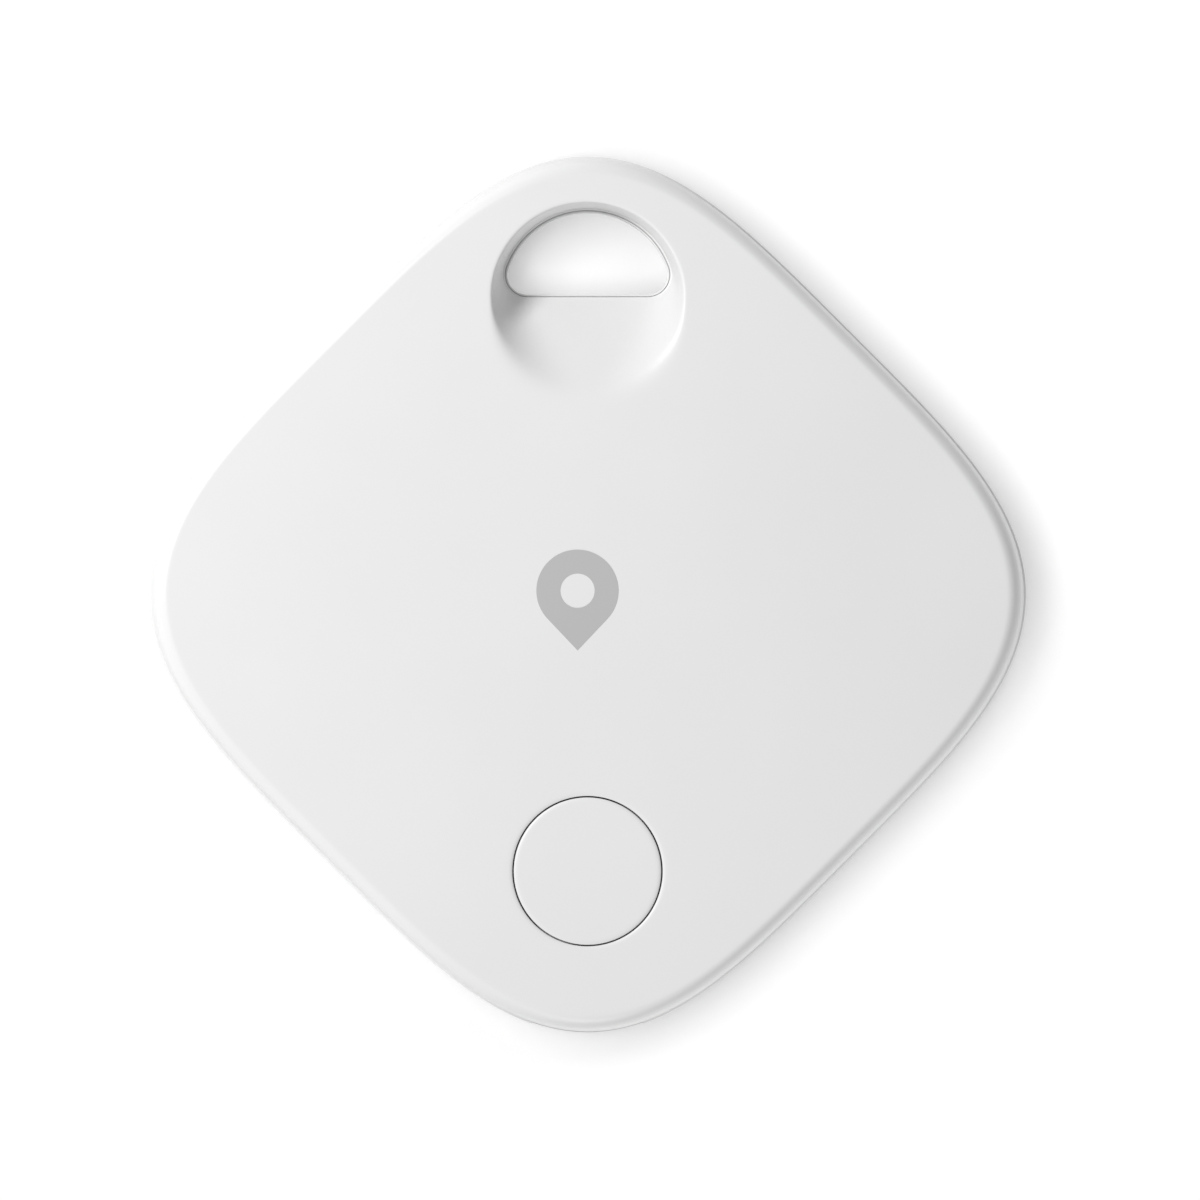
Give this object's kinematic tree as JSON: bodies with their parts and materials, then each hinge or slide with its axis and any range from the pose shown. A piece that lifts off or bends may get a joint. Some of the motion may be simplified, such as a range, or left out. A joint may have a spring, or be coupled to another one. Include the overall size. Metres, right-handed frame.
{
  "type": "bluetooth tracker tag",
  "caption": "Flat rounded-square tracker tag with a dished D-shaped key-ring hole, a flush press button and a removable rear cover over a replaceable coin cell.",
  "frame": {"origin": "centre of the flat rear face that the tag rests on", "axes": "+Z out of the front face, +Y from the button towards the key-ring hole, +X to the right seen from the front"},
  "size_m": [0.0472, 0.0472, 0.008],
  "materials": {
    "front_shell": "fine satin moulded white",
    "rear_shell": "fine satin moulded white",
    "button_plastic": "fine satin moulded white",
    "print_grey": "matt pad-printed ink",
    "foam": "matt closed-cell foam",
    "tray_plastic": "matt moulded black",
    "screw_steel": "nickel plated",
    "can_steel": "stamped nickel-plated steel",
    "cap_steel": "stamped nickel-plated steel",
    "gasket_plastic": "moulded",
    "cathode_powder": "pressed powder",
    "separator_film": "thin film",
    "lithium_foil": "rolled metal foil",
    "contact_gold": "gold-plated spring alloy",
    "board_laminate": "green solder mask on glass laminate",
    "chip_resin": "matt moulded resin",
    "crystal_can": "drawn metal lid",
    "coil_ferrite": "sintered ferrite",
    "antenna_ceramic": "fired ceramic",
    "capacitor_ceramic": "fired ceramic with tinned ends",
    "resistor_ceramic": "coated ceramic with tinned ends",
    "tape_film": "adhesive foam film",
    "buzzer_brass": "rolled brass sheet",
    "piezo_ceramic": "silvered fired ceramic",
    "switch_plastic": "moulded",
    "terminal_tin": "tinned",
    "spring_steel": "bright rolled",
    "plunger_plastic": "moulded"
  },
  "bodies": {
    "rear_lid": {"rear_cover": "rear_shell", "battery_pad": "foam"},
    "housing": {"front_cover": "front_shell", "battery_tray": "tray_plastic", "tray_screws": "screw_steel", "positive_contacts": "contact_gold", "negative_contact": "contact_gold", "circuit_board": "board_laminate", "radio_chip": "chip_resin", "motion_sensor": "chip_resin", "main_crystal": "crystal_can", "clock_crystal": "crystal_can", "buzzer_coil": "coil_ferrite", "chip_antenna": "antenna_ceramic", "chip_capacitors": "capacitor_ceramic", "chip_resistors": "resistor_ceramic", "buzzer_springs": "contact_gold", "buzzer_tape": "tape_film", "buzzer_plate": "buzzer_brass", "buzzer_ceramic": "piezo_ceramic", "switch_base": "switch_plastic", "switch_terminals": "terminal_tin", "switch_dome": "spring_steel", "switch_frame": "spring_steel"},
    "button": {"button_cap": "button_plastic"},
    "plunger": {"switch_plunger": "plunger_plastic"},
    "battery": {"battery_can": "can_steel", "battery_cap": "cap_steel", "battery_gasket": "gasket_plastic", "battery_cathode": "cathode_powder", "battery_separator": "separator_film", "battery_lithium": "lithium_foil"}
  },
  "joints": [
    {"name": "button_press", "type": "slide", "parent": "housing", "child": "button", "axis": [0, 0, -1], "range_m": [0, 0.0002], "stiffness_N_per_m": 1200, "deforming": ["switch_dome"]},
    {"name": "plunger_press", "type": "slide", "parent": "housing", "child": "plunger", "axis": [0, 0, -1], "range_m": [0, 0.0002]},
    {"name": "cover_release", "type": "slide", "parent": "rear_lid", "child": "housing", "axis": [0, 0, 1], "range_m": [0, 0.016]},
    {"name": "battery_release", "type": "slide", "parent": "rear_lid", "child": "battery", "axis": [0, 0, 1], "range_m": [0, 0.008]}
  ],
  "couplings": [
    {"joint": "plunger_press", "follows": "button_press", "ratio": 1},
    {"joint": "battery_release", "follows": "cover_release", "ratio": 0.5}
  ]
}
